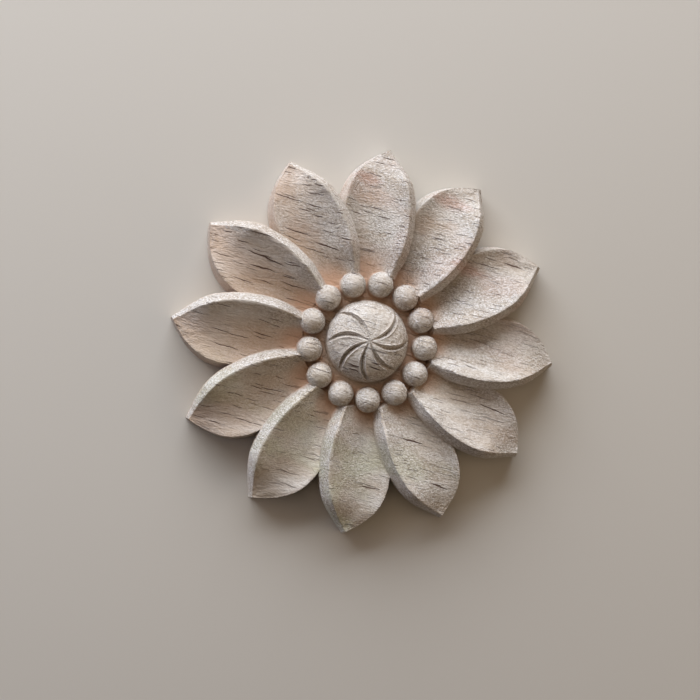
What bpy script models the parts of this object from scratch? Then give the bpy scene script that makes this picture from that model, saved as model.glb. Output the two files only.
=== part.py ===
"""Carved wood rosette: twelve cupped petals lapped like a pinwheel, a ring of beads and a fluted dome.

The rosette lies on its flat back. The origin is the centre of the back, +Z points out of the carved face,
and one petal points along +X.
"""

import math

import bmesh
import bpy
from mathutils import Matrix, Vector

MM = 0.001

# Counts of the ornament
PETALS = 12
BEADS = 13
FLUTES = 8

# Petal outline at the crest, in millimetres, for the petal that points along +X.
# Each side is one cubic curve from the tip to the root: tip, two handles, root.
TIP = (38.4, 0.0)
LAPPING_SIDE = (TIP, (31.5, -5.4), (23.8, -6.8), (13.2, -3.0))
TUCKED_SIDE = (TIP, (35.4, 5.1), (29.9, 11.7), (12.6, 3.7))

# Petal heights above the back
TIP_HEIGHT = 5.2
LAPPING_HEIGHT = 9.9
LAPPING_ROOT_HEIGHT = 7.6
TUCKED_HEIGHT = 7.0
TUCKED_ROOT_HEIGHT = 5.4
FLOOR_HEIGHT = 6.3
FLOOR_ROOT_HEIGHT = 4.2

# Lowest line of a hollow, as a share of its width from the tucked side, and the level rim round it
FLOOR_PLACE = 0.27
RIM_WIDTH = 0.3

# Petal walls: a bevel that takes this share of the crest height, with a steeper side below it.
# Each wall is the draft of its bevel and the draft of its side.
BEVEL_SHARE = 0.3
LAPPING_WALL = (math.radians(29.5), math.radians(1.5))
TUCKED_WALL = (math.radians(11.0), math.radians(11.0))

# Hub that the beads and the dome stand on
HUB_RADIUS = 14.6
HUB_FOOT_HEIGHT = 2.3
HUB_TOP_RADIUS = 12.7
HUB_HEIGHT = 4.4

# Beads
BEAD_RING_RADIUS = 11.65
BEAD_RADIUS = 2.52
BEAD_TOP = 8.7
BEAD_SKIRT_FLARE = 0.1

# Dome
DOME_RADIUS = 8.3
DOME_FOOT = 4.4
DOME_TOP = 10.7
DOME_FULLNESS = 2.4
DOME_SKIRT_FLARE = 0.25
FLUTE_DEPTH = 1.1
FLUTE_HALF_WIDTH = 0.75
FLUTE_PHASE = math.radians(24.5)
FLUTE_SWEEP = math.radians(30.0)

# Every solid runs this far below the back before the back is cut flat
UNDERCUT = 1.0
UNDERCUT_STEP = 0.04

# Facets
PETAL_ROWS = 15
CUP_COLUMNS = 7
BEAD_SIDES = 14
BEAD_RINGS = 4
DOME_LOBE_COLUMNS = 3
DOME_RINGS = 10
HUB_SIDES = 48

WOOD_COLOUR = (0.60, 0.50, 0.41, 1.0)
WOOD_ROUGHNESS = 0.8


def clear_scene():
    for old in list(bpy.data.objects):
        bpy.data.objects.remove(old)


def smooth_step(low, high, value):
    share = min(1.0, max(0.0, (value - low) / (high - low)))
    return share * share * (3.0 - 2.0 * share)


def curve_point(handles, share):
    """A point on a cubic curve given by its two ends and two handles."""
    rest = 1.0 - share
    weights = (rest**3, 3 * rest * rest * share, 3 * rest * share * share, share**3)
    return Vector((
        sum(w * h[0] for w, h in zip(weights, handles)),
        sum(w * h[1] for w, h in zip(weights, handles)),
    ))


def lapping_height(share):
    """Height of the crest that lies over the next petal, from tip to root."""
    rise = (LAPPING_HEIGHT - TIP_HEIGHT) * smooth_step(0.0, 0.38, share)
    fall = (LAPPING_HEIGHT - LAPPING_ROOT_HEIGHT) * smooth_step(0.8, 1.0, share)
    return TIP_HEIGHT + rise - fall


def tucked_height(share):
    """Height of the crest that runs under the petal before, from tip to root."""
    rise = (TUCKED_HEIGHT - TIP_HEIGHT) * smooth_step(0.1, 0.5, share)
    fall = (TUCKED_HEIGHT - TUCKED_ROOT_HEIGHT) * smooth_step(0.55, 0.95, share)
    return TIP_HEIGHT + rise - fall


def floor_height(share):
    """Height of the bottom of the hollow, which is arched from tip to root."""
    rise = (FLOOR_HEIGHT - TIP_HEIGHT) * smooth_step(0.0, 0.4, share)
    fall = (FLOOR_HEIGHT - FLOOR_ROOT_HEIGHT) * smooth_step(0.5, 1.0, share)
    return TIP_HEIGHT + rise - fall


def hollow_height(share, inside):
    """Height in the hollow at a share of the length and a share of the width from the tucked side."""
    floor = floor_height(share)
    if inside > FLOOR_PLACE:
        return floor + (lapping_height(share) - floor) * ((inside - FLOOR_PLACE) / (1.0 - FLOOR_PLACE)) ** 1.7
    return floor + (tucked_height(share) - floor) * (1.0 - inside / FLOOR_PLACE) ** 2.0


def petal_shares():
    """Row positions along the petal, closer together near the tip."""
    return [(row / PETAL_ROWS) ** 1.25 for row in range(1, PETAL_ROWS + 1)]


def petal_row(share):
    """The top of one petal row, from the tucked crest to the lapping crest."""
    tucked = curve_point(TUCKED_SIDE, share)
    lapping = curve_point(LAPPING_SIDE, share)
    rim = min(RIM_WIDTH / (lapping - tucked).length, 0.28)
    across = [0.0]
    across += [rim + (1.0 - 2.0 * rim) * column / CUP_COLUMNS for column in range(CUP_COLUMNS + 1)]
    across.append(1.0)
    points = []
    for step in across:
        inside = min(1.0, max(0.0, (step - rim) / (1.0 - 2.0 * rim)))
        place = tucked.lerp(lapping, step)
        points.append(Vector((place.x, place.y, hollow_height(share, inside))))
    return points


def outward(before, after, side):
    """Level unit vector that points out of the petal beside the line from before to after."""
    along = Vector((after.x - before.x, after.y - before.y))
    return Vector((along.y, -along.x, 0.0)).normalized() * side


def wall_run(wall, crest_height, drop):
    """How far out a wall stands at a drop below its crest."""
    bevel = min(drop, BEVEL_SHARE * crest_height)
    return bevel * math.tan(wall[0]) + (drop - bevel) * math.tan(wall[1])


def wall_point(wall, crest, direction, drop):
    """The point of a wall at a drop below a crest point."""
    return crest + direction * wall_run(wall, crest.z, drop) - Vector((0.0, 0.0, drop))


def tip_wall_point(tip, tucked_direction, lapping_direction, drop):
    """Where both walls meet at a drop below the tip."""
    tucked_run = wall_run(TUCKED_WALL, tip.z, drop)
    lapping_run = wall_run(LAPPING_WALL, tip.z, drop)
    cosine = tucked_direction.dot(lapping_direction)
    spread = 1.0 - cosine * cosine
    shift = tucked_direction * ((tucked_run - cosine * lapping_run) / spread)
    shift += lapping_direction * ((lapping_run - cosine * tucked_run) / spread)
    return tip + shift - Vector((0.0, 0.0, drop))


def petal_mesh(index):
    """One petal as a closed solid with drafted walls, pointing along +X."""
    bottom = -UNDERCUT - UNDERCUT_STEP * index
    tip = Vector((TIP[0], TIP[1], TIP_HEIGHT))
    rows = [petal_row(share) for share in petal_shares()]
    tucked = [tip] + [row[0] for row in rows]
    lapping = [tip] + [row[-1] for row in rows]
    tucked_out = [outward(tucked[max(i - 1, 0)], tucked[min(i + 1, PETAL_ROWS)], 1.0)
                  for i in range(PETAL_ROWS + 1)]
    lapping_out = [outward(lapping[max(i - 1, 0)], lapping[min(i + 1, PETAL_ROWS)], -1.0)
                   for i in range(PETAL_ROWS + 1)]

    bm = bmesh.new()
    tip_top = bm.verts.new(tip)
    tip_knee, tip_foot = [bm.verts.new(tip_wall_point(tip, tucked_out[0], lapping_out[0], drop))
                          for drop in (BEVEL_SHARE * tip.z, tip.z - bottom)]
    tops = [[bm.verts.new(point) for point in row] for row in rows]
    tucked_feet, lapping_knees, lapping_feet = [], [], []
    for i in range(1, PETAL_ROWS + 1):
        foot = wall_point(TUCKED_WALL, tucked[i], tucked_out[i], tucked[i].z - bottom)
        tucked_feet.append(bm.verts.new(foot))
        knee = wall_point(LAPPING_WALL, lapping[i], lapping_out[i], BEVEL_SHARE * lapping[i].z)
        lapping_knees.append(bm.verts.new(knee))
        foot = wall_point(LAPPING_WALL, lapping[i], lapping_out[i], lapping[i].z - bottom)
        lapping_feet.append(bm.verts.new(foot))
    for left, right in zip(tops[0], tops[0][1:]):
        bm.faces.new((tip_top, left, right))
    for near, far in zip(tops, tops[1:]):
        for column in range(len(near) - 1):
            bm.faces.new((near[column], far[column], far[column + 1], near[column + 1]))
    bm.faces.new((tip_top, tip_knee, tip_foot, tucked_feet[0], tops[0][0]))
    bm.faces.new((tip_knee, tip_top, tops[0][-1], lapping_knees[0]))
    bm.faces.new((tip_foot, tip_knee, lapping_knees[0], lapping_feet[0]))
    bm.faces.new((tip_foot, lapping_feet[0], tucked_feet[0]))
    for i in range(PETAL_ROWS - 1):
        bm.faces.new((tops[i][0], tucked_feet[i], tucked_feet[i + 1], tops[i + 1][0]))
        bm.faces.new((lapping_knees[i], tops[i][-1], tops[i + 1][-1], lapping_knees[i + 1]))
        bm.faces.new((lapping_feet[i], lapping_knees[i], lapping_knees[i + 1], lapping_feet[i + 1]))
        bm.faces.new((tucked_feet[i], lapping_feet[i], lapping_feet[i + 1], tucked_feet[i + 1]))
    bm.faces.new([tucked_feet[-1], lapping_feet[-1], lapping_knees[-1]] + tops[-1][::-1])
    bmesh.ops.recalc_face_normals(bm, faces=bm.faces)
    return bm


def close_turned(bm, rings, top):
    """Faces between rings of equal length, from the foot ring up to the top point."""
    sides = len(rings[0])
    for lower, upper in zip(rings, rings[1:]):
        for side in range(sides):
            after = (side + 1) % sides
            bm.faces.new((lower[side], lower[after], upper[after], upper[side]))
    for side in range(sides):
        bm.faces.new((rings[-1][side], rings[-1][(side + 1) % sides], top))
    bm.faces.new(rings[0][::-1])
    bmesh.ops.recalc_face_normals(bm, faces=bm.faces)


def turned_mesh(profile, sides):
    """A solid of revolution about Z. The profile runs from the outer foot up to the top centre."""
    bm = bmesh.new()
    angles = [2.0 * math.pi * side / sides for side in range(sides)]
    rings = [[bm.verts.new((radius * math.cos(a), radius * math.sin(a), height)) for a in angles]
             for radius, height in profile[:-1]]
    close_turned(bm, rings, bm.verts.new((0.0, 0.0, profile[-1][1])))
    return bm


def hub_profile(bottom):
    """A level plateau with a bevelled rim."""
    rim = [(HUB_RADIUS, bottom), (HUB_RADIUS, HUB_FOOT_HEIGHT)]
    return rim + [(HUB_TOP_RADIUS, HUB_HEIGHT), (0.0, HUB_HEIGHT)]


def bead_profile(bottom):
    """Half a ball on a slightly flared skirt."""
    centre = BEAD_TOP - BEAD_RADIUS
    foot = (BEAD_RADIUS + BEAD_SKIRT_FLARE * (centre - bottom), bottom)
    steps = [math.pi / 2.0 * ring / BEAD_RINGS for ring in range(BEAD_RINGS + 1)]
    return [foot] + [(BEAD_RADIUS * math.cos(a), centre + BEAD_RADIUS * math.sin(a)) for a in steps]


def dome_profile(bottom):
    """A dome, fuller than an ellipse, on a flared skirt, as height against radius."""
    foot = (DOME_RADIUS + DOME_SKIRT_FLARE * (DOME_FOOT - bottom), bottom)
    rise = DOME_TOP - DOME_FOOT
    power = 2.0 / DOME_FULLNESS
    steps = [math.pi / 2.0 * ring / DOME_RINGS for ring in range(DOME_RINGS)]
    cap = [(DOME_RADIUS * math.cos(a) ** power, DOME_FOOT + rise * math.sin(a) ** power) for a in steps]
    return [foot] + cap + [(0.0, DOME_TOP)]


def flute_crescent(share):
    """How open a flute is at a share of the dome radius: closed at the centre and near the edge."""
    return (0.2 + 0.8 * smooth_step(0.05, 0.5, share)) * smooth_step(1.02, 0.78, share)


def dome_mesh(bottom):
    """The dome, with its columns laid along the swept flutes so that each flute is a clean V."""
    pitch = 2.0 * math.pi / FLUTES
    bm = bmesh.new()
    rings = []
    for radius, height in dome_profile(bottom)[:-1]:
        share = min(1.0, radius / DOME_RADIUS)
        crescent = flute_crescent(share) if height > DOME_FOOT else 0.0
        lip = min(FLUTE_HALF_WIDTH * (0.3 + 0.7 * crescent) / radius, 0.4 * pitch)
        lobe = pitch - 2.0 * lip
        sweep = FLUTE_PHASE + FLUTE_SWEEP * share * share
        ring = []
        for flute in range(FLUTES):
            for column in range(DOME_LOBE_COLUMNS + 2):
                turn = 0.0 if column == 0 else lip + lobe * (column - 1) / DOME_LOBE_COLUMNS
                angle = sweep + flute * pitch + turn
                sunk = height - (FLUTE_DEPTH * crescent if column == 0 else 0.0)
                ring.append(bm.verts.new((radius * math.cos(angle), radius * math.sin(angle), sunk)))
        rings.append(ring)
    close_turned(bm, rings, bm.verts.new((0.0, 0.0, DOME_TOP)))
    return bm


def wood_material():
    material = bpy.data.materials.new("carved_rubberwood")
    material.use_nodes = True
    shader = material.node_tree.nodes["Principled BSDF"]
    shader.inputs["Base Color"].default_value = WOOD_COLOUR
    shader.inputs["Roughness"].default_value = WOOD_ROUGHNESS
    shader.inputs["Metallic"].default_value = 0.0
    return material


def add_object(name, bm, matrix=Matrix.Identity(4)):
    """Puts a mesh drawn in millimetres into the scene, in metres."""
    bm.transform(Matrix.Scale(MM, 4) @ matrix)
    mesh = bpy.data.meshes.new(name)
    bm.to_mesh(mesh)
    bm.free()
    thing = bpy.data.objects.new(name, mesh)
    bpy.context.scene.collection.objects.link(thing)
    return thing


def carved_forms():
    """Every form that the carver leaves standing, as separate overlapping solids."""
    forms = []
    for index in range(PETALS):
        turn = Matrix.Rotation(2.0 * math.pi * index / PETALS, 4, "Z")
        forms.append(add_object(f"petal_{index}", petal_mesh(index), turn))
    bottom = -UNDERCUT - UNDERCUT_STEP * PETALS
    forms.append(add_object("hub", turned_mesh(hub_profile(bottom), HUB_SIDES)))
    for index in range(BEADS):
        bottom -= UNDERCUT_STEP
        turn = Matrix.Rotation(2.0 * math.pi * index / BEADS, 4, "Z")
        place = turn @ Matrix.Translation((BEAD_RING_RADIUS, 0.0, 0.0))
        forms.append(add_object(f"bead_{index}", turned_mesh(bead_profile(bottom), BEAD_SIDES), place))
    bottom -= UNDERCUT_STEP
    forms.append(add_object("dome", dome_mesh(bottom)))
    return forms


def join_forms(forms):
    """One body from all the forms, by Boolean union."""
    others = bpy.data.collections.new("forms")
    bpy.context.scene.collection.children.link(others)
    for form in forms[1:]:
        others.objects.link(form)
    body = forms[0]
    union = body.modifiers.new("union", "BOOLEAN")
    union.operation = "UNION"
    union.operand_type = "COLLECTION"
    union.collection = others
    union.solver = "EXACT"
    evaluated = body.evaluated_get(bpy.context.evaluated_depsgraph_get())
    bm = bmesh.new()
    bm.from_mesh(evaluated.to_mesh())
    evaluated.to_mesh_clear()
    for form in forms:
        bpy.data.objects.remove(form)
    bpy.data.collections.remove(others)
    return bm


def cut_back(bm):
    """Cuts everything below the back away and closes the back with one flat face."""
    bmesh.ops.remove_doubles(bm, verts=bm.verts, dist=0.000002)
    bmesh.ops.bisect_plane(
        bm, geom=bm.verts[:] + bm.edges[:] + bm.faces[:], dist=0.000001,
        plane_co=(0.0, 0.0, 0.0), plane_no=(0.0, 0.0, 1.0), clear_inner=True,
    )
    rim = [edge for edge in bm.edges if edge.is_boundary]
    bmesh.ops.contextual_create(bm, geom=rim)
    bmesh.ops.recalc_face_normals(bm, faces=bm.faces)


def build_rosette():
    bm = join_forms(carved_forms())
    cut_back(bm)
    mesh = bpy.data.meshes.new("rosette")
    bm.to_mesh(mesh)
    bm.free()
    mesh.shade_smooth()
    mesh.set_sharp_from_angle(angle=math.radians(35.0))
    mesh.materials.clear()
    mesh.materials.append(wood_material())
    rosette = bpy.data.objects.new("rosette", mesh)
    bpy.context.scene.collection.objects.link(rosette)


def main():
    clear_scene()
    build_rosette()


main()
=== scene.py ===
"""Looks of the carved rosette: the fine carved surface, the raw rubberwood, the floor, light and camera.

The carved forms are worked out again with many more facets, so that the fuzz, the tool waves and the
fibre ridges of the wood can be laid on them. Lengths are in millimetres until the mesh is written.
"""

import math

import bmesh
import bpy
from mathutils import Euler, Matrix, Vector, noise


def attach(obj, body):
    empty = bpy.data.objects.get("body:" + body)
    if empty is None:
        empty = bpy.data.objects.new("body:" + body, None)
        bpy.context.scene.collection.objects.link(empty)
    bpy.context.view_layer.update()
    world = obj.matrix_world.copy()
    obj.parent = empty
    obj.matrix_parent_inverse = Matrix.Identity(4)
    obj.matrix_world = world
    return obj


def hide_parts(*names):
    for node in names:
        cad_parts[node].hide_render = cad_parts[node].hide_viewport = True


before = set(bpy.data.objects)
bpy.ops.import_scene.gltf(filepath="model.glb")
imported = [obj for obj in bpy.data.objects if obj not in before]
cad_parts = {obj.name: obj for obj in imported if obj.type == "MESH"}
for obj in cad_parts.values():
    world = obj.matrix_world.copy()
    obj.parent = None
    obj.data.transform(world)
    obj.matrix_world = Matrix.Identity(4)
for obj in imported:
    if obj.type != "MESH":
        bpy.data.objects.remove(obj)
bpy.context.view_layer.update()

MM = 0.001

# Counts of the ornament
PETALS = 12
BEADS = 13
FLUTES = 8

# Petal outline at the crest for the petal that points along +X: tip, two handles, root
TIP = (38.4, 0.0)
LAPPING_SIDE = (TIP, (31.5, -5.4), (23.8, -6.8), (13.2, -3.0))
TUCKED_SIDE = (TIP, (35.4, 5.1), (29.9, 11.7), (12.6, 3.7))

# Petal heights above the back: at the tip, then for both crests and for the bottom of the hollow the
# greatest, the one at the root, and the shares of the length over which each rises and falls
TIP_HEIGHT = 5.2
LAPPING_CREST = (9.9, 7.6, (0.0, 0.38), (0.8, 1.0))
TUCKED_CREST = (7.0, 5.4, (0.1, 0.5), (0.55, 0.95))
HOLLOW_BOTTOM = (6.3, 4.2, (0.0, 0.4), (0.5, 1.0))

# Lowest line of a hollow, as a share of its width from the tucked side, and how its two slopes curve
BOTTOM_PLACE = 0.27
LAPPING_SLOPE_POWER = 1.7
TUCKED_SLOPE_POWER = 2.0

# Level rim round a hollow, and the largest share of the width that it takes near the tip
RIM_WIDTH = 0.3
RIM_LIMIT = 0.28

# Petal walls: a bevel that takes this share of the crest height, with a steeper side below it.
# Each wall is the draft of its bevel and the draft of its side.
BEVEL_SHARE = 0.3
LAPPING_WALL = (math.radians(29.5), math.radians(1.5))
TUCKED_WALL = (math.radians(11.0), math.radians(11.0))

# Hub, beads and dome
HUB_RADIUS = 14.6
HUB_FOOT_HEIGHT = 2.3
HUB_TOP_RADIUS = 12.7
HUB_HEIGHT = 4.4
BEAD_RING_RADIUS = 11.65
BEAD_RADIUS = 2.52
BEAD_TOP = 8.7
BEAD_SKIRT_FLARE = 0.1
DOME_RADIUS = 8.3
DOME_FOOT = 4.4
DOME_TOP = 10.7
DOME_FULLNESS = 2.4
DOME_SKIRT_FLARE = 0.25
FLUTE_DEPTH = 1.05
FLUTE_HALF_WIDTH = 0.62
FLUTE_PHASE = math.radians(24.5)
FLUTE_SWEEP = math.radians(30.0)

# A flute is this open at the centre of the dome, opens fully between two shares of the dome radius and
# closes again between two others. Where it is closed it still has a share of its width.
FLUTE_CENTRE_SHARE = 0.2
FLUTE_OPENING = (0.05, 0.5)
FLUTE_CLOSING = (1.02, 0.78)
FLUTE_NARROWEST = 0.3

# Towards the centre the flutes crowd, and each takes at most this share of its pitch on each side
FLUTE_WIDEST = 0.4

# The cutter leaves a low lip along both edges: its height, and how open the flute is where it starts
FLUTE_LIP = 0.22
FLUTE_LIP_START = 0.3

# One flute came out faint: which one, and the share of the depth that it has
FAINT_FLUTE = 1
FAINT_SHARE = 0.15

# Every form runs this far below the back before the back is cut flat
UNDERCUT = 0.5
UNDERCUT_STEP = 0.02

# Points closer together than this become one, and points this close to the back lie on it
MERGE_DISTANCE = 0.002
BACK_TOLERANCE = 0.0005

# Edges sharper than this stay crisp
CRISP_ANGLE = math.radians(50.0)

# Facets of the fine surface
PETAL_ROWS = 70
ROW_CROWDING = 1.25
CUP_COLUMNS = 40
WALL_STEPS = 12
BEAD_SIDES = 36
BEAD_RINGS = 12
DOME_LOBE_COLUMNS = 9
DOME_FLUTE_COLUMNS = 6
DOME_RINGS = 34
HUB_SIDES = 120

# Grain runs level, turned this far from +X
GRAIN_TURN = math.radians(-10.5)

# Relief of the worked wood: how high each kind stands and how long its waves are
TOOL_WAVE_HEIGHT = 0.07
TOOL_WAVE_LENGTH = 6.0
RIDGE_HEIGHT = 0.04
RIDGE_WIDTH = 0.6
RIDGE_LENGTH = 3.0
FUZZ_HEIGHT = 0.08
FUZZ_LENGTH = 0.55
CREST_NIBBLE = 0.12
CREST_NIBBLE_LENGTH = 0.9
CREST_NIBBLE_START = Vector((7.0, 3.0, 1.0))

# Share of the fuzz on faces along the grain, and what end grain adds to it
FUZZ_SIDE_SHARE = 0.6
FUZZ_END_SHARE = 0.8

# The relief fades out over this height above the flat back
BACK_MARGIN = 0.6

# Colours as they look on a screen
DARK_BAND = "c7b9a7"
PALE_BAND = "dcd4c8"
ROSY_CAST = "cba392"
GREENISH_CAST = "c6c8a8"
REDDISH_WOOD = "c98f78"
FIBRE_SHADE = "94806d"
# Clean cut wood, which also paints shade low in the hollows
CLEAN_CUT_AND_PAINTED_SHADE = "bb9a7e"
# Painted light on the torn fibre tips, and painted shade in the pits between them
TORN_TIP_PAINTED_LIGHT = "fbf7f3"
TORN_PIT_PAINTED_SHADE = "93806f"
VESSEL_DARK = "553526"
# Warm shade painted in the low ground round the beads
WARM_PAINTED_SHADE = "dab598"
FLOOR_PAINT = "cbc5ba"
ROOM_LIGHT = "a59684"

# Straight up, and the sides of the carving towards which the cut is cleaner and more torn
UP = (0.0, 0.0, 1.0)
CLEANER_SIDE = (-0.7, 0.7, 0.0)
TORN_SIDE = (0.95, 0.2, 0.0)

# How much of their own colour streaks and vessels have at most
STREAK_SHARE = 0.5
VESSEL_SHARE = 0.92

# Height of the finest relief, which only the material draws, and the shares of it that fibres and
# vessels have
BUMP_HEIGHT = 0.5
FIBRE_RELIEF = 0.45
VESSEL_RELIEF = -0.8

# Warm shade painted on the ground round the beads: the radii between which it comes in, and goes out again
PAINTED_SHADE_RADII = ((7.5 * MM, 9.5 * MM), (19.0 * MM, 14.5 * MM))

# Patterns in the wood: width, length along the grain and depth of a cell.
# Real fibres and torn tips are finer than a pixel, so both are drawn coarser.
BAND_SIZE = (3.2, 22.0, 3.2)
CAST_SIZE = (9.0, 16.0, 9.0)
FIBRE_SIZE = (0.3, 1.6, 0.3)
TORN_PATCH_SIZE = (8.0, 8.0, 8.0)
FUZZ_SIZE = (0.3, 0.48, 0.3)
VESSEL_GAP_SIZE = (0.8, 1.6, 0.8)

# How far the wood drifts from straight grain, and over what length
DRIFT_REACH = 0.7
DRIFT_LENGTH = 2.4

# Opened vessels: spacing, length, width, and where their cells start
VESSELS = (
    (0.5, 18.0, 0.18, (0.0, 0.0, 0.0)),
    (0.42, 10.0, 0.14, (4.3, 2.1, 7.7)),
)

# Vessels stand above each other in rows, so that a sloping cut still opens a long line of them
VESSEL_ROW_DEPTH = 4.5

# Casts in the wood: colour, direction, pattern values where the cast begins and is full, and two
# places along the direction with the share that it has at each
CASTS = (
    (ROSY_CAST, (0.6, 0.8, 0.0), (0.5, 0.68), (-10.0 * MM, 30.0 * MM, 0.0, 0.32)),
    (GREENISH_CAST, (0.2, 0.98, 0.0), (0.5, 0.34), (0.0, -30.0 * MM, 0.0, 0.6)),
)

# Splits from drying: middle, length, width, and the turn from +X in degrees
SPLITS = (
    (28.2, 18.8, 4.4, 0.34, -11.0),
    (-21.4, 14.2, 8.6, 0.30, -17.0),
    (-21.8, 12.3, 6.0, 0.26, -10.0),
    (-9.6, 18.1, 6.5, 0.24, -16.0),
    (11.3, -18.4, 5.4, 0.32, -13.0),
    (17.9, -26.9, 4.5, 0.30, -17.0),
    (4.2, -28.7, 4.5, 0.26, -4.0),
    (27.3, -10.5, 6.5, 0.22, -16.0),
    (-2.1, -4.6, 2.6, 0.32, -13.0),
    (-1.9, -5.5, 2.4, 0.28, -13.0),
    (2.1, -4.8, 2.8, 0.32, -14.0),
    (2.0, -3.8, 2.2, 0.28, -14.0),
)

# Soft reddish streaks, in the same order
RED_STREAKS = (
    (14.0, 29.9, 10.0, 3.4, -13.0),
    (-3.3, 32.7, 7.0, 3.0, -13.0),
    (18.7, 17.0, 9.0, 3.0, -13.0),
)

# Camera: place, and turns about X, Y and Z in degrees
CAMERA_PLACE = (-16.221, -2.194, 154.697)
CAMERA_TURN = (-0.526, -4.958, 6.499)
CAMERA_LENS = 38.57
CAMERA_SENSOR = 36.0
CAMERA_CLIP = 0.005

# Half the width of the floor, and how far it lies below the back so that the two don't touch, in metres
FLOOR_HALF = 0.9
FLOOR_DROP = 0.0002

# Soft boxes round the carving: name, direction as seen by the camera, distance, width and height in
# metres, power and colour
SOFT_BOXES = (
    ("window", (-0.185, 0.87, 0.455), 0.55, 0.75, 0.35, 6.0, "eef4ff"),
    ("side_glow", (0.93, -0.1, 0.34), 0.6, 0.5, 0.4, 0.75, "ffe4c8"),
    ("ceiling", (-0.2, 0.36, 0.9), 0.6, 0.5, 0.5, 0.5, "ffe4c8"),
    ("sky_glow", (-0.96, 0.1, 0.26), 0.6, 0.5, 0.4, 0.55, "b4c4ff"),
)


def smooth_step(low, high, value):
    share = min(1.0, max(0.0, (value - low) / (high - low)))
    return share * share * (3.0 - 2.0 * share)


def curve_point(handles, share):
    """A point on a cubic curve given by its two ends and two handles."""
    rest = 1.0 - share
    weights = (rest**3, 3 * rest * rest * share, 3 * rest * share * share, share**3)
    return Vector((
        sum(w * h[0] for w, h in zip(weights, handles)),
        sum(w * h[1] for w, h in zip(weights, handles)),
    ))


def height_along(line, share):
    """Height of a crest or of the bottom of the hollow, both arched, at a share of the way to the root."""
    greatest, root, rising, falling = line
    rise = (greatest - TIP_HEIGHT) * smooth_step(*rising, share)
    fall = (greatest - root) * smooth_step(*falling, share)
    return TIP_HEIGHT + rise - fall


def hollow_height(share, inside):
    """Height in the hollow at a share of the length and a share of the width from the tucked side."""
    bottom = height_along(HOLLOW_BOTTOM, share)
    if inside > BOTTOM_PLACE:
        slope = ((inside - BOTTOM_PLACE) / (1.0 - BOTTOM_PLACE)) ** LAPPING_SLOPE_POWER
        return bottom + (height_along(LAPPING_CREST, share) - bottom) * slope
    slope = (1.0 - inside / BOTTOM_PLACE) ** TUCKED_SLOPE_POWER
    return bottom + (height_along(TUCKED_CREST, share) - bottom) * slope


def petal_shares():
    """Row positions along the petal, closer together near the tip."""
    return [(row / PETAL_ROWS) ** ROW_CROWDING for row in range(1, PETAL_ROWS + 1)]


def petal_row(share):
    """The top of one petal row, from the tucked crest to the lapping crest."""
    tucked = curve_point(TUCKED_SIDE, share)
    lapping = curve_point(LAPPING_SIDE, share)
    rim = min(RIM_WIDTH / (lapping - tucked).length, RIM_LIMIT)
    across = [0.0]
    across += [rim + (1.0 - 2.0 * rim) * column / CUP_COLUMNS for column in range(CUP_COLUMNS + 1)]
    across.append(1.0)
    points = []
    for step in across:
        inside = min(1.0, max(0.0, (step - rim) / (1.0 - 2.0 * rim)))
        place = tucked.lerp(lapping, step)
        points.append(Vector((place.x, place.y, hollow_height(share, inside))))
    return points


def outward(before, after, side):
    """Level unit vector that points out of the petal beside the line from before to after."""
    along = Vector((after.x - before.x, after.y - before.y))
    return Vector((along.y, -along.x, 0.0)).normalized() * side


def wall_run(wall, crest_height, drop):
    """How far out a wall stands at a drop below its crest."""
    bevel = min(drop, BEVEL_SHARE * crest_height)
    return bevel * math.tan(wall[0]) + (drop - bevel) * math.tan(wall[1])


def wall_point(wall, crest, direction, drop):
    """The point of a wall at a drop below a crest point."""
    return crest + direction * wall_run(wall, crest.z, drop) - Vector((0.0, 0.0, drop))


def tip_wall_point(tip, tucked_direction, lapping_direction, drop):
    """Where both walls meet at a drop below the tip."""
    tucked_run = wall_run(TUCKED_WALL, tip.z, drop)
    lapping_run = wall_run(LAPPING_WALL, tip.z, drop)
    cosine = tucked_direction.dot(lapping_direction)
    spread = 1.0 - cosine * cosine
    shift = tucked_direction * ((tucked_run - cosine * lapping_run) / spread)
    shift += lapping_direction * ((lapping_run - cosine * tucked_run) / spread)
    return tip + shift - Vector((0.0, 0.0, drop))


def wall_columns(bm, wall, crests, directions, bottom):
    """Points down a wall: one column of points for each crest point, from crest to foot."""
    columns = []
    for crest, direction in zip(crests, directions):
        drops = [(crest.co.z - bottom) * step / WALL_STEPS for step in range(1, WALL_STEPS + 1)]
        column = [bm.verts.new(wall_point(wall, crest.co, direction, drop)) for drop in drops]
        columns.append([crest] + column)
    return columns


def fill_between(bm, columns):
    for near, far in zip(columns, columns[1:]):
        for step in range(len(near) - 1):
            bm.faces.new((near[step], far[step], far[step + 1], near[step + 1]))


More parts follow.
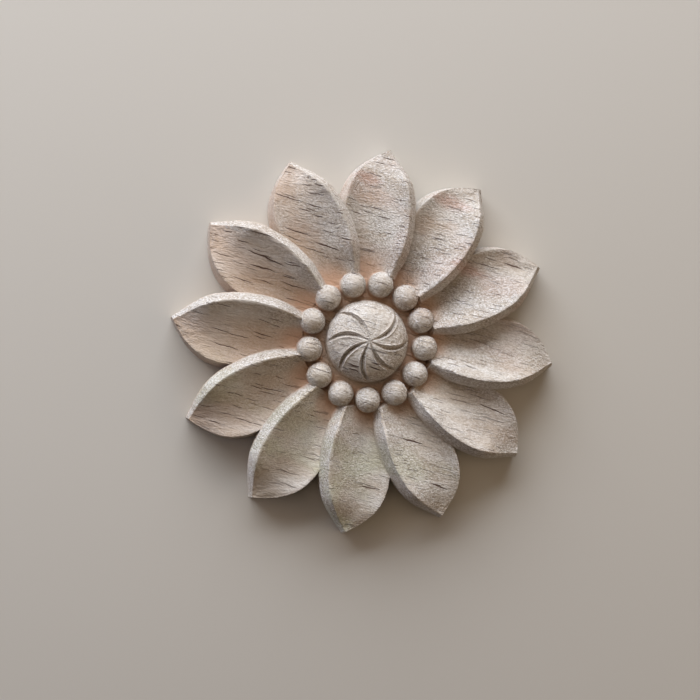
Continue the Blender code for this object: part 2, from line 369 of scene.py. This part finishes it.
def petal_mesh(index):
    """One petal as a closed solid with drafted walls, pointing along +X."""
    bottom = -UNDERCUT - UNDERCUT_STEP * index
    tip = Vector((TIP[0], TIP[1], TIP_HEIGHT))
    rows = [petal_row(share) for share in petal_shares()]
    tucked = [tip] + [row[0] for row in rows]
    lapping = [tip] + [row[-1] for row in rows]
    last = PETAL_ROWS
    tucked_out = [outward(tucked[max(i - 1, 0)], tucked[min(i + 1, last)], 1.0) for i in range(last + 1)]
    lapping_out = [outward(lapping[max(i - 1, 0)], lapping[min(i + 1, last)], -1.0) for i in range(last + 1)]

    bm = bmesh.new()
    tip_top = bm.verts.new(tip)
    tops = [[bm.verts.new(point) for point in row] for row in rows]
    for left, right in zip(tops[0], tops[0][1:]):
        bm.faces.new((tip_top, left, right))
    fill_between(bm, tops)

    drops = [(tip.z - bottom) * step / WALL_STEPS for step in range(1, WALL_STEPS + 1)]
    tip_points = [tip_wall_point(tip, tucked_out[0], lapping_out[0], drop) for drop in drops]
    tip_column = [[tip_top] + [bm.verts.new(point) for point in tip_points]]
    tucked_tops, lapping_tops = [row[0] for row in tops], [row[-1] for row in tops]
    tucked_wall = tip_column + wall_columns(bm, TUCKED_WALL, tucked_tops, tucked_out[1:], bottom)
    lapping_wall = tip_column + wall_columns(bm, LAPPING_WALL, lapping_tops, lapping_out[1:], bottom)
    fill_between(bm, tucked_wall)
    fill_between(bm, lapping_wall)
    root = tops[-1] + lapping_wall[-1][1:] + tucked_wall[-1][:0:-1]
    bm.faces.new(root)
    base = [column[-1] for column in tucked_wall] + [column[-1] for column in lapping_wall[:0:-1]]
    bm.faces.new(base)
    bmesh.ops.recalc_face_normals(bm, faces=bm.faces)
    return bm


def close_turned(bm, rings, top):
    """Faces between rings of equal length, from the foot ring up to the top point."""
    sides = len(rings[0])
    for lower, upper in zip(rings, rings[1:]):
        for side in range(sides):
            after = (side + 1) % sides
            bm.faces.new((lower[side], lower[after], upper[after], upper[side]))
    for side in range(sides):
        bm.faces.new((rings[-1][side], rings[-1][(side + 1) % sides], top))
    bm.faces.new(rings[0][::-1])
    bmesh.ops.recalc_face_normals(bm, faces=bm.faces)


def turned_mesh(profile, sides):
    """A solid of revolution about Z. The profile runs from the outer foot up to the top centre."""
    bm = bmesh.new()
    angles = [2.0 * math.pi * side / sides for side in range(sides)]
    rings = [[bm.verts.new((radius * math.cos(a), radius * math.sin(a), height)) for a in angles]
             for radius, height in profile[:-1]]
    close_turned(bm, rings, bm.verts.new((0.0, 0.0, profile[-1][1])))
    return bm


def skirt(radius, flare, height, bottom, steps):
    """Profile points of a straight flared skirt, from its foot up to just under the given height."""
    rise = height - bottom
    return [(radius + flare * rise * (1.0 - step / steps), bottom + rise * step / steps)
            for step in range(steps)]


def hub_profile(bottom):
    """A level plateau with a bevelled rim."""
    rim = [(HUB_RADIUS, bottom), (HUB_RADIUS, HUB_FOOT_HEIGHT)]
    return rim + [(HUB_TOP_RADIUS, HUB_HEIGHT), (0.0, HUB_HEIGHT)]


def bead_profile(bottom):
    """Half a ball on a slightly flared skirt."""
    centre = BEAD_TOP - BEAD_RADIUS
    arc = [math.pi / 2.0 * ring / BEAD_RINGS for ring in range(BEAD_RINGS + 1)]
    ball = [(BEAD_RADIUS * math.cos(a), centre + BEAD_RADIUS * math.sin(a)) for a in arc]
    return skirt(BEAD_RADIUS, BEAD_SKIRT_FLARE, centre, bottom, WALL_STEPS) + ball


def dome_profile(bottom):
    """A dome, fuller than an ellipse, on a flared skirt."""
    rise = DOME_TOP - DOME_FOOT
    power = 2.0 / DOME_FULLNESS
    arc = [math.pi / 2.0 * ring / DOME_RINGS for ring in range(DOME_RINGS)]
    cap = [(DOME_RADIUS * math.cos(a) ** power, DOME_FOOT + rise * math.sin(a) ** power) for a in arc]
    return skirt(DOME_RADIUS, DOME_SKIRT_FLARE, DOME_FOOT, bottom, WALL_STEPS) + cap + [(0.0, DOME_TOP)]


def flute_crescent(share):
    """How open a flute is at a share of the dome radius: closed at the centre and near the edge."""
    opening = FLUTE_CENTRE_SHARE + (1.0 - FLUTE_CENTRE_SHARE) * smooth_step(*FLUTE_OPENING, share)
    return opening * smooth_step(*FLUTE_CLOSING, share)


def dome_mesh(bottom):
    """The dome, with its columns laid along the swept flutes so that each flute is a clean V."""
    pitch = 2.0 * math.pi / FLUTES
    bm = bmesh.new()
    rings = []
    for radius, height in dome_profile(bottom)[:-1]:
        share = min(1.0, radius / DOME_RADIUS)
        crescent = flute_crescent(share) if height > DOME_FOOT else 0.0
        half_width = FLUTE_HALF_WIDTH * (FLUTE_NARROWEST + (1.0 - FLUTE_NARROWEST) * crescent)
        edge = min(half_width / radius, FLUTE_WIDEST * pitch)
        lobe = pitch - 2.0 * edge
        sweep = FLUTE_PHASE + FLUTE_SWEEP * share * share
        steps = [edge * (2.0 * column / DOME_FLUTE_COLUMNS - 1.0) for column in range(DOME_FLUTE_COLUMNS)]
        steps += [edge + lobe * column / DOME_LOBE_COLUMNS for column in range(DOME_LOBE_COLUMNS)]
        ring = []
        for flute in range(FLUTES):
            depth = FLUTE_DEPTH * crescent * (FAINT_SHARE if flute == FAINT_FLUTE else 1.0)
            for turn in steps:
                angle = sweep + flute * pitch + turn
                raised = 0.0
                if math.isclose(abs(turn), edge, abs_tol=1e-6):
                    raised = FLUTE_LIP * max(0.0, crescent - FLUTE_LIP_START) * (depth / FLUTE_DEPTH)
                sunk = height + raised - depth * max(0.0, 1.0 - abs(turn) / edge)
                ring.append(bm.verts.new((radius * math.cos(angle), radius * math.sin(angle), sunk)))
        rings.append(ring)
    close_turned(bm, rings, bm.verts.new((0.0, 0.0, DOME_TOP)))
    return bm


def add_object(name, bm, matrix=Matrix.Identity(4)):
    bm.transform(matrix)
    mesh = bpy.data.meshes.new(name)
    bm.to_mesh(mesh)
    bm.free()
    thing = bpy.data.objects.new(name, mesh)
    bpy.context.scene.collection.objects.link(thing)
    return thing


def carved_forms():
    """Every form that the carver leaves standing, as separate overlapping solids."""
    forms = []
    for index in range(PETALS):
        turn = Matrix.Rotation(2.0 * math.pi * index / PETALS, 4, "Z")
        forms.append(add_object(f"petal_{index}", petal_mesh(index), turn))
    bottom = -UNDERCUT - UNDERCUT_STEP * PETALS
    forms.append(add_object("hub", turned_mesh(hub_profile(bottom), HUB_SIDES)))
    for index in range(BEADS):
        bottom -= UNDERCUT_STEP
        turn = Matrix.Rotation(2.0 * math.pi * index / BEADS, 4, "Z")
        place = turn @ Matrix.Translation((BEAD_RING_RADIUS, 0.0, 0.0))
        forms.append(add_object(f"bead_{index}", turned_mesh(bead_profile(bottom), BEAD_SIDES), place))
    bottom -= UNDERCUT_STEP
    forms.append(add_object("dome", dome_mesh(bottom)))
    return forms


def join_forms(forms):
    """One body from all the forms, by Boolean union."""
    others = bpy.data.collections.new("forms")
    bpy.context.scene.collection.children.link(others)
    for form in forms[1:]:
        others.objects.link(form)
    body = forms[0]
    union = body.modifiers.new("union", "BOOLEAN")
    union.operation = "UNION"
    union.operand_type = "COLLECTION"
    union.collection = others
    union.solver = "EXACT"
    evaluated = body.evaluated_get(bpy.context.evaluated_depsgraph_get())
    bm = bmesh.new()
    bm.from_mesh(evaluated.to_mesh())
    evaluated.to_mesh_clear()
    for form in forms:
        bpy.data.objects.remove(form)
    bpy.data.collections.remove(others)
    return bm


def cut_back(bm):
    """Cuts everything below the back away and closes the back with one flat face."""
    bmesh.ops.remove_doubles(bm, verts=bm.verts, dist=MERGE_DISTANCE)
    bmesh.ops.bisect_plane(
        bm, geom=bm.verts[:] + bm.edges[:] + bm.faces[:], dist=BACK_TOLERANCE,
        plane_co=(0.0, 0.0, 0.0), plane_no=(0.0, 0.0, 1.0), clear_inner=True,
    )
    rim = [edge for edge in bm.edges if edge.is_boundary]
    bmesh.ops.contextual_create(bm, geom=rim)
    bmesh.ops.triangulate(bm, faces=[face for face in bm.faces if len(face.verts) > 4])
    bmesh.ops.recalc_face_normals(bm, faces=bm.faces)


def along_grain(vector):
    """A point or a normal in axes that run along the grain, across it and up."""
    return Matrix.Rotation(-GRAIN_TURN, 3, "Z") @ vector


def relief_at(point, normal):
    """How far the worked surface stands out of the clean form at a point."""
    grained = along_grain(point)
    end_grain = abs(along_grain(normal).x)
    wave = TOOL_WAVE_HEIGHT * noise.noise(point / TOOL_WAVE_LENGTH)
    ridge_place = Vector((grained.x / RIDGE_LENGTH, grained.y / RIDGE_WIDTH, grained.z / RIDGE_WIDTH))
    ridge = RIDGE_HEIGHT * noise.noise(ridge_place)
    fuzz_share = FUZZ_SIDE_SHARE + FUZZ_END_SHARE * end_grain
    fuzz = FUZZ_HEIGHT * fuzz_share * noise.noise(point / FUZZ_LENGTH)
    crest_place = point / CREST_NIBBLE_LENGTH + CREST_NIBBLE_START
    nibble = CREST_NIBBLE * (1.0 - abs(normal.z)) * noise.noise(crest_place)
    return wave + ridge + fuzz + nibble


def roughen(bm):
    """Lays the relief of the worked wood on the carved surface, and leaves the flat back alone."""
    bm.normal_update()
    shifts = []
    for vert in bm.verts:
        hold = smooth_step(0.0, BACK_MARGIN, vert.co.z)
        shifts.append(vert.normal * (relief_at(vert.co, vert.normal) * hold))
    for vert, shift in zip(bm.verts, shifts):
        vert.co += shift


def fine_rosette():
    """The whole carving with its worked surface, in the scene and in metres."""
    bm = join_forms(carved_forms())
    cut_back(bm)
    roughen(bm)
    bm.transform(Matrix.Scale(MM, 4))
    mesh = bpy.data.meshes.new("carved_rosette")
    bm.to_mesh(mesh)
    bm.free()
    mesh.shade_smooth()
    mesh.set_sharp_from_angle(angle=CRISP_ANGLE)
    rosette = bpy.data.objects.new("carved_rosette", mesh)
    bpy.context.scene.collection.objects.link(rosette)
    return rosette


def linear(hex_colour):
    """Colour for a shader from the colour as it looks on a screen, such as "c8b9a5"."""
    shares = [int(hex_colour[i:i + 2], 16) / 255.0 for i in (0, 2, 4)]
    line = [s / 12.92 if s <= 0.04045 else ((s + 0.055) / 1.055) ** 2.4 for s in shares]
    return (*line, 1.0)


def add_node(tree, kind, inputs=(), output=0, **settings):
    """Adds a node with its settings and links, and gives back one of its outputs.

    The inputs are given in order or by name, each as a value or as the output that feeds it. For a
    MapRange they are the value, the two ends of its range, and what it becomes at each of them.
    """
    node = tree.nodes.new("ShaderNode" + kind)
    for name, value in settings.items():
        setattr(node, name, value)
    sockets = inputs.items() if isinstance(inputs, dict) else enumerate(inputs)
    for name, value in sockets:
        if isinstance(value, bpy.types.NodeSocket):
            tree.links.new(value, node.inputs[name])
        else:
            node.inputs[name].default_value = value
    return node.outputs[output]


def wood_place(tree):
    """Place in the solid wood, moved a little so that nothing in the wood runs dead straight."""
    where = add_node(tree, "TexCoord", output="Object")
    drift = add_node(tree, "TexNoise", {"Vector": where, "Scale": 1.0 / (DRIFT_LENGTH * MM), "Detail": 3.0},
                     output="Color")
    return add_node(tree, "VectorMath", (drift, [DRIFT_REACH * MM] * 3, where), operation="MULTIPLY_ADD")


def grain_cells(tree, place, size, offset=(0.0, 0.0, 0.0)):
    """The place counted in cells along the grain, so that a pattern in them runs through the wood."""
    width, length, depth = size
    turned = add_node(tree, "Mapping", {"Vector": place, "Rotation": (0.0, 0.0, -GRAIN_TURN)})
    scale = (1.0 / (length * MM), 1.0 / (width * MM), 1.0 / (depth * MM))
    return add_node(tree, "Mapping", {"Vector": turned, "Location": offset, "Scale": scale})


def growth_bands(tree, place):
    """The ground colour: long bands of paler and darker wood."""
    cells = grain_cells(tree, place, BAND_SIZE)
    bands = add_node(tree, "TexNoise", {"Vector": cells, "Scale": 1.0, "Detail": 3.0, "Roughness": 0.55})
    paler = add_node(tree, "MapRange", (bands, 0.32, 0.68, 0.0, 1.0), interpolation_type="SMOOTHSTEP")
    return add_node(tree, "Mix", {0: paler, 6: linear(DARK_BAND), 7: linear(PALE_BAND)}, 2, data_type="RGBA")


def uneven_casts(tree, place, base):
    """Rosy casts towards one side and greenish ones towards the other."""
    cells = grain_cells(tree, place, CAST_SIZE, (3.1, 1.7, 0.4))
    casts = add_node(tree, "TexNoise", {"Vector": cells, "Scale": 1.0, "Detail": 1.0, "Roughness": 0.5})
    for colour, direction, patch, reach in CASTS:
        patches = add_node(tree, "MapRange", (casts, *patch, 0.0, 1.0), interpolation_type="SMOOTHSTEP")
        side = add_node(tree, "VectorMath", (place, direction), 1, operation="DOT_PRODUCT")
        share = add_node(tree, "MapRange", (side, *reach), interpolation_type="SMOOTHSTEP")
        cast = add_node(tree, "Math", (patches, share), operation="MULTIPLY")
        base = add_node(tree, "Mix", {0: cast, 6: base, 7: linear(colour)}, 2, data_type="RGBA")
    return base


def tapered_mark(tree, place, mark, inner, outer):
    """A long mark that tapers to both ends: 1 inside, 0 outside."""
    x, y, length, width, turn = mark
    local = add_node(tree, "Mapping", {
        "Vector": place, "Location": (x * MM, y * MM, 0.0), "Rotation": (0.0, 0.0, math.radians(turn)),
        "Scale": (0.5 * length * MM, 0.5 * width * MM, 1.0),
    }, vector_type="TEXTURE")
    along = add_node(tree, "SeparateXYZ", (local,), "X")
    across = add_node(tree, "Math", (add_node(tree, "SeparateXYZ", (local,), "Y"),), operation="ABSOLUTE")
    lens = add_node(tree, "Math", (along, along, across), operation="MULTIPLY_ADD")
    return add_node(tree, "MapRange", (lens, inner, outer, 1.0, 0.0), interpolation_type="SMOOTHSTEP")


def red_streaks(tree, place, base):
    """Soft reddish streaks along the grain."""
    for streak in RED_STREAKS:
        mark = tapered_mark(tree, place, streak, 0.1, 1.4)
        redness = add_node(tree, "Math", (mark, STREAK_SHARE), operation="MULTIPLY")
        base = add_node(tree, "Mix", {0: redness, 6: base, 7: linear(REDDISH_WOOD)}, 2, data_type="RGBA")
    return base


def fine_fibres(tree, place):
    """Fibres of the wood, as soft streaks from 0 to 1."""
    cells = grain_cells(tree, place, FIBRE_SIZE)
    return add_node(tree, "TexNoise", {"Vector": cells, "Scale": 1.0, "Detail": 2.0, "Roughness": 0.6})


def torn_share(tree, place, normal, facing):
    """How much of the cut is torn: most where it crosses the grain or is steep, and towards one side."""
    grain = (math.cos(GRAIN_TURN), math.sin(GRAIN_TURN), 0.0)
    crossing = add_node(tree, "VectorMath", (normal, grain), 1, operation="DOT_PRODUCT")
    crossing = add_node(tree, "Math", (crossing,), operation="ABSOLUTE")
    crossing = add_node(tree, "MapRange", (crossing, 0.05, 0.5, 0.6, 1.0), interpolation_type="SMOOTHSTEP")
    cells = grain_cells(tree, place, TORN_PATCH_SIZE, (5.0, 0.0, 2.0))
    clouds = add_node(tree, "TexNoise", {"Vector": cells, "Scale": 1.0, "Detail": 2.0, "Roughness": 0.5})
    patches = add_node(tree, "MapRange", (clouds, 0.36, 0.6, 0.55, 1.0), interpolation_type="SMOOTHSTEP")
    side = add_node(tree, "VectorMath", (place, TORN_SIDE), 1, operation="DOT_PRODUCT")
    side = add_node(tree, "MapRange", (side, -25.0 * MM, 10.0 * MM, 0.3, 1.0),
                    interpolation_type="SMOOTHSTEP")
    patches = add_node(tree, "Math", (patches, side), operation="MULTIPLY")
    torn = add_node(tree, "Math", (crossing, patches), operation="MULTIPLY")

    bevel = add_node(tree, "MapRange", (facing, 0.92, 0.6, 0.0, 1.0), interpolation_type="SMOOTHSTEP")
    upright = add_node(tree, "MapRange", (facing, 0.2, 0.5, 0.3, 1.0), interpolation_type="SMOOTHSTEP")
    steep = add_node(tree, "Math", (bevel, upright), operation="MULTIPLY")
    return add_node(tree, "Math", (torn, steep), operation="MAXIMUM")


def clean_cuts_and_painted_shade(tree, place, base, torn, leaning):
    """Warmer, darker colour where the tool cut clean, strongest low down in the hollows: the clean cut is the
    wood's own colour, the darkening low in the hollows is painted shade.
    """
    height = add_node(tree, "SeparateXYZ", (place,), "Z")
    # Painted shade: the colour is strongest low down in the hollows
    low = add_node(tree, "MapRange", (height, 9.5 * MM, 6.0 * MM, 0.0, 1.0), interpolation_type="SMOOTHSTEP")
    clean_and_shaded = add_node(tree, "MapRange", (torn, 0.1, 0.7, 0.6, 0.0), interpolation_type="SMOOTHSTEP")
    clean_and_shaded = add_node(tree, "Math", (clean_and_shaded, low), operation="MULTIPLY")
    side = add_node(tree, "MapRange", (leaning, -18.0 * MM, 15.0 * MM, 0.0, 1.0),
                    interpolation_type="SMOOTHSTEP")
    clean_and_shaded = add_node(tree, "Math", (clean_and_shaded, side), operation="MULTIPLY")
    return add_node(tree, "Mix", {0: clean_and_shaded, 6: base, 7: linear(CLEAN_CUT_AND_PAINTED_SHADE)}, 2, data_type="RGBA")


def torn_fuzz_painted_light_and_shade(tree, base, fuzz, torn):
    """Torn fibre ends with light and shade painted on them: the tips painted paler as painted light, the pits
    between them painted darker as painted shade.
    """
    painted_lit_tips = add_node(tree, "MapRange", (fuzz, 0.46, 0.62, 0.0, 0.7), interpolation_type="SMOOTHSTEP")
    painted_lit_tips = add_node(tree, "Math", (painted_lit_tips, torn), operation="MULTIPLY")
    base = add_node(tree, "Mix", {0: painted_lit_tips, 6: base, 7: linear(TORN_TIP_PAINTED_LIGHT)}, 2, data_type="RGBA")
    painted_shaded_pits = add_node(tree, "MapRange", (fuzz, 0.47, 0.34, 0.0, 0.45), interpolation_type="SMOOTHSTEP")
    painted_shaded_pits = add_node(tree, "Math", (painted_shaded_pits, torn), operation="MULTIPLY")
    return add_node(tree, "Mix", {0: painted_shaded_pits, 6: base, 7: linear(TORN_PIT_PAINTED_SHADE)}, 2, data_type="RGBA")


def vessel_lines(tree, place, spacing, length, width, offset):
    """Where the cut opens a tall row of vessels: 1 inside, 0 outside."""
    cells = grain_cells(tree, place, (spacing, length, VESSEL_ROW_DEPTH), offset)
    middle = add_node(tree, "TexVoronoi", {"Vector": cells, "Scale": 1.0, "Randomness": 1.0}, "Distance",
                      voronoi_dimensions="3D", feature="F1")
    inside = 0.5 * width / spacing
    return add_node(tree, "MapRange", (middle, 0.6 * inside, 1.1 * inside, 1.0, 0.0),
                    interpolation_type="SMOOTHSTEP")


def opened_wood(tree, place, facing, leaning):
    """Opened vessels, more of them towards one side and few on the walls, and the splits from drying."""
    lines = [vessel_lines(tree, place, *vessels) for vessels in VESSELS]
    opened = add_node(tree, "Math", lines, operation="MAXIMUM")
    cells = grain_cells(tree, place, VESSEL_GAP_SIZE, (1.0, 6.0, 3.0))
    gaps = add_node(tree, "TexNoise", {"Vector": cells, "Scale": 1.0, "Detail": 2.0, "Roughness": 0.5})
    gaps = add_node(tree, "MapRange", (gaps, 0.27, 0.42, 0.0, 1.0), interpolation_type="SMOOTHSTEP")
    side = add_node(tree, "MapRange", (leaning, -25.0 * MM, 20.0 * MM, 0.45, 1.0),
                    interpolation_type="SMOOTHSTEP")
    level = add_node(tree, "MapRange", (facing, 0.3, 0.85, 0.1, 1.0), interpolation_type="SMOOTHSTEP")
    for share in (gaps, side, level):
        opened = add_node(tree, "Math", (opened, share), operation="MULTIPLY")
    for split in SPLITS:
        opened = add_node(tree, "Math", (opened, tapered_mark(tree, place, split, 0.6, 1.1)),
                          operation="MAXIMUM")
    return opened


def warm_painted_shade_on_ground(tree, place, base):
    """Warm shade painted on the low ground between the dome, the beads and the roots of the petals."""
    flat = add_node(tree, "VectorMath", (place, (1.0, 1.0, 0.0)), operation="MULTIPLY")
    radius = add_node(tree, "VectorMath", (flat,), "Value", operation="LENGTH")
    height = add_node(tree, "SeparateXYZ", (place,), "Z")
    painted_ground_shade = add_node(tree, "MapRange", (height, 7.4 * MM, 5.0 * MM, 0.0, 0.7), interpolation_type="SMOOTHSTEP")
    for none, full in PAINTED_SHADE_RADII:
        ring = add_node(tree, "MapRange", (radius, none, full, 0.0, 1.0), interpolation_type="SMOOTHSTEP")
        painted_ground_shade = add_node(tree, "Math", (painted_ground_shade, ring), operation="MULTIPLY")
    return add_node(tree, "Mix", {0: painted_ground_shade, 6: base, 7: linear(WARM_PAINTED_SHADE)}, 2, data_type="RGBA")


def rubberwood():
    """Raw rubberwood off the carving tool: pale and matt, with dark open vessels and a torn fuzz, and with
    light and shade painted into its colour.
    """
    material = bpy.data.materials.new("raw_rubberwood_as_carved")
    material.use_nodes = True
    tree = material.node_tree
    place = wood_place(tree)
    normal = add_node(tree, "NewGeometry", output="Normal")
    facing = add_node(tree, "VectorMath", (normal, UP), "Value", operation="DOT_PRODUCT")
    leaning = add_node(tree, "VectorMath", (place, CLEANER_SIDE), "Value", operation="DOT_PRODUCT")

    base = growth_bands(tree, place)
    base = uneven_casts(tree, place, base)
    base = red_streaks(tree, place, base)
    fibres = fine_fibres(tree, place)
    darker = add_node(tree, "MapRange", (fibres, 0.6, 0.34, 0.0, 0.3), interpolation_type="SMOOTHSTEP")
    base = add_node(tree, "Mix", {0: darker, 6: base, 7: linear(FIBRE_SHADE)}, 2, data_type="RGBA")

    torn = torn_share(tree, place, normal, facing)
    # Clean cuts, with shade painted low in the hollows
    base = clean_cuts_and_painted_shade(tree, place, base, torn, leaning)
    cells = grain_cells(tree, place, FUZZ_SIZE)
    fuzz = add_node(tree, "TexNoise", {"Vector": cells, "Scale": 1.0, "Detail": 2.0, "Roughness": 0.75})
    # Light and shade painted on the fuzz: paler tips, darker pits
    base = torn_fuzz_painted_light_and_shade(tree, base, fuzz, torn)

    opened = opened_wood(tree, place, facing, leaning)
    darkness = add_node(tree, "Math", (opened, VESSEL_SHARE), operation="MULTIPLY")
    base = add_node(tree, "Mix", {0: darkness, 6: base, 7: linear(VESSEL_DARK)}, 2, data_type="RGBA")
    # Warm shade painted in the low ground round the beads
    base = warm_painted_shade_on_ground(tree, place, base)

    # Fuzz and fibres stand up, vessels and splits are sunk
    height = add_node(tree, "Math", (fuzz, torn), operation="MULTIPLY")
    height = add_node(tree, "Math", (fibres, FIBRE_RELIEF, height), operation="MULTIPLY_ADD")
    height = add_node(tree, "Math", (opened, VESSEL_RELIEF, height), operation="MULTIPLY_ADD")
    bumpy = add_node(tree, "Bump", {"Height": height, "Strength": 1.0, "Distance": BUMP_HEIGHT * MM})
    shader = tree.nodes["Principled BSDF"]
    tree.links.new(base, shader.inputs["Base Color"])
    tree.links.new(bumpy, shader.inputs["Normal"])
    shader.inputs["Roughness"].default_value = 0.86
    shader.inputs["IOR"].default_value = 1.5
    shader.inputs["Specular IOR Level"].default_value = 0.25
    return material


def studio_floor():
    """A floor in pale matt paint, so that it lights the carving evenly from below."""
    half = FLOOR_HALF
    mesh = bpy.data.meshes.new("floor")
    mesh.from_pydata([(-half, -half, 0.0), (half, -half, 0.0), (half, half, 0.0), (-half, half, 0.0)],
                     [], [(0, 1, 2, 3)])
    floor = bpy.data.objects.new("floor", mesh)
    floor.location.z = -FLOOR_DROP
    bpy.context.scene.collection.objects.link(floor)
    material = bpy.data.materials.new("pale_floor_paint")
    material.use_nodes = True
    shader = material.node_tree.nodes["Principled BSDF"]
    shader.inputs["Base Color"].default_value = linear(FLOOR_PAINT)
    shader.inputs["Roughness"].default_value = 0.9
    mesh.materials.append(material)


def camera_turn():
    return Euler([math.radians(angle) for angle in CAMERA_TURN])


def add_camera():
    data = bpy.data.cameras.new("camera")
    data.sensor_width = CAMERA_SENSOR
    data.lens = CAMERA_LENS
    data.clip_start = CAMERA_CLIP
    thing = bpy.data.objects.new("camera", data)
    thing.location = [c * MM for c in CAMERA_PLACE]
    thing.rotation_euler = camera_turn()
    bpy.context.scene.collection.objects.link(thing)
    bpy.context.scene.camera = thing


def add_soft_box(name, direction, distance, width, height, power, colour):
    """A soft box that faces the carving."""
    data = bpy.data.lights.new(name, "AREA")
    data.shape = "RECTANGLE"
    data.size = width
    data.size_y = height
    data.energy = power
    data.color = linear(colour)[:3]
    thing = bpy.data.objects.new(name, data)
    way = (camera_turn().to_matrix() @ Vector(direction)).normalized()
    thing.location = way * distance
    thing.rotation_euler = way.to_track_quat("Z", "Y").to_euler()
    bpy.context.scene.collection.objects.link(thing)


def dress_the_set():
    """Floor, camera, soft boxes and a dim room round them."""
    studio_floor()
    add_camera()
    for soft_box in SOFT_BOXES:
        add_soft_box(*soft_box)
    world = bpy.data.worlds.new("dim_room")
    world.use_nodes = True
    room = world.node_tree.nodes["Background"]
    room.inputs["Color"].default_value = linear(ROOM_LIGHT)
    room.inputs["Strength"].default_value = 0.14
    bpy.context.scene.world = world
    bpy.context.scene.view_settings.view_transform = "Standard"


def main():
    rosette = fine_rosette()
    rosette.data.materials.clear()
    rosette.data.materials.append(rubberwood())
    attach(rosette, "root")
    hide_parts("rosette")
    dress_the_set()


main()
